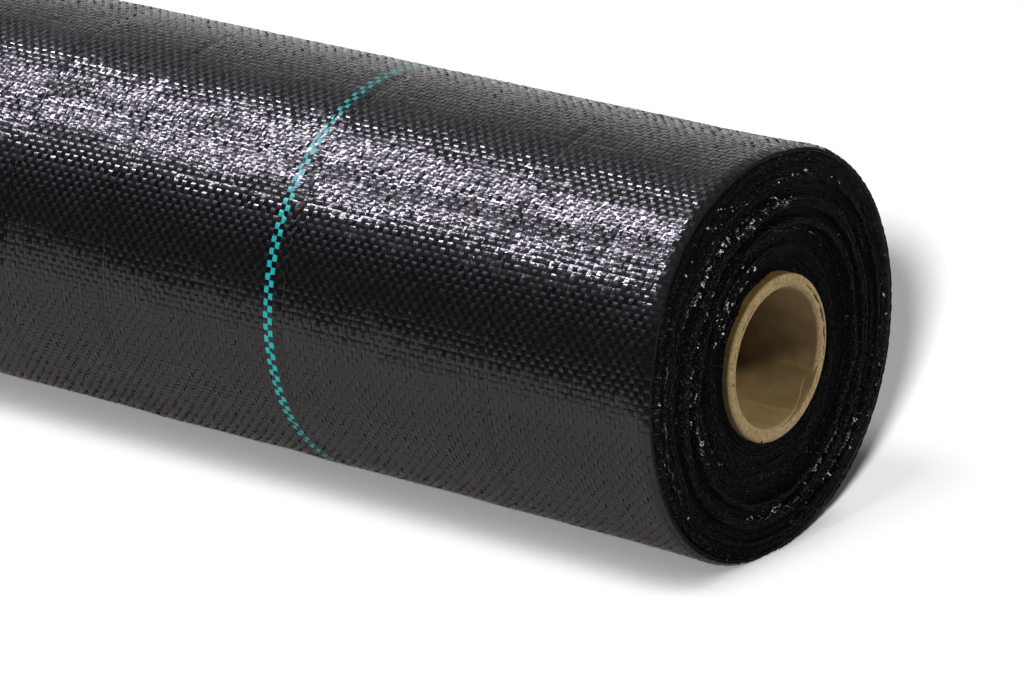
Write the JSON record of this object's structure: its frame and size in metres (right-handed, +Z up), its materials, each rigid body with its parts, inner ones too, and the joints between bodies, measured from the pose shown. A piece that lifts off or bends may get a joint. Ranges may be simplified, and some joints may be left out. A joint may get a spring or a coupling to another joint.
{
  "type": "roll of woven ground-cover fabric",
  "caption": "Roll of black woven ground-cover fabric with turquoise marker lines, wound on a cardboard core, with a free end that peels off the back.",
  "frame": {"origin": "on the floor below the middle of the roll; z = 0 is the plane that the roll lies on", "axes": "+X along the roll towards the end face that the picture shows, +Z up, and the free end of the web on the +Y side"},
  "size_m": [1.005, 0.1494, 0.1479],
  "materials": {
    "kraft_board": "smooth brown kraft paper",
    "black_cloth": "plain weave of glossy slit-film polypropylene tapes",
    "turquoise_tape": "glossy slit-film polypropylene"
  },
  "bodies": {
    "roll": {"core_liner": "kraft_board", "core_ply_2": "kraft_board", "core_ply_3": "kraft_board", "core_ply_4": "kraft_board", "core_cover": "kraft_board", "fabric_wound_body": "black_cloth", "fabric_outer_wraps": "black_cloth", "marker_1_tape_1": "turquoise_tape", "marker_1_tape_2": "turquoise_tape", "marker_2_tape_1": "turquoise_tape", "marker_2_tape_2": "turquoise_tape", "marker_3_tape_1": "turquoise_tape", "marker_3_tape_2": "turquoise_tape"},
    "free_end": {"fabric_free_end": "black_cloth", "marker_1_tape_1_free_end": "turquoise_tape", "marker_1_tape_2_free_end": "turquoise_tape", "marker_2_tape_1_free_end": "turquoise_tape", "marker_2_tape_2_free_end": "turquoise_tape", "marker_3_tape_1_free_end": "turquoise_tape", "marker_3_tape_2_free_end": "turquoise_tape"}
  },
  "joints": [
    {"name": "free_end_peel", "type": "hinge", "parent": "roll", "child": "free_end", "pos_m": [0, 0.06413, 0.11023], "axis": [1, 0, 0], "range_deg": [0, 110]}
  ]
}
